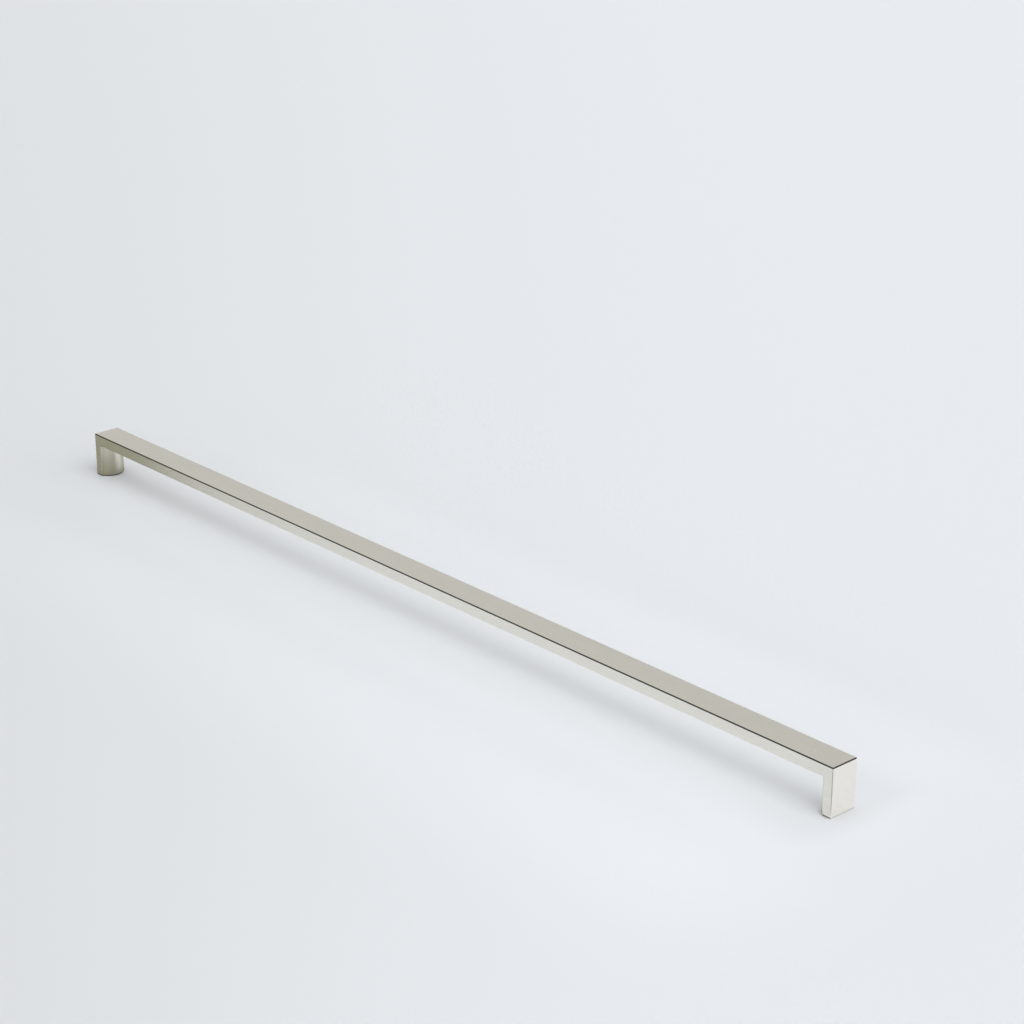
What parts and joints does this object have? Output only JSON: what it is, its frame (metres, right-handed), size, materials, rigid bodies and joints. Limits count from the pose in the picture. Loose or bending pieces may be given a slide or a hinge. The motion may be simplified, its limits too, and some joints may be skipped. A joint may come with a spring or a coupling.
{
  "type": "appliance pull",
  "caption": "Long slim staple-shaped appliance pull: a flat nickel-plated bar on short square legs, each with a round boss inside and a tapped hole in its foot.",
  "frame": {"origin": "on the mounting surface, midway between the two screw holes", "axes": "+X along the bar, +Z away from the mounting surface, so the gripped face looks along +Z"},
  "size_m": [0.912, 0.0252, 0.04],
  "materials": {
    "nickel": "nickel-plated, fine satin"
  },
  "bodies": {
    "root": {"pull_bar": "nickel"}
  },
  "joints": []
}
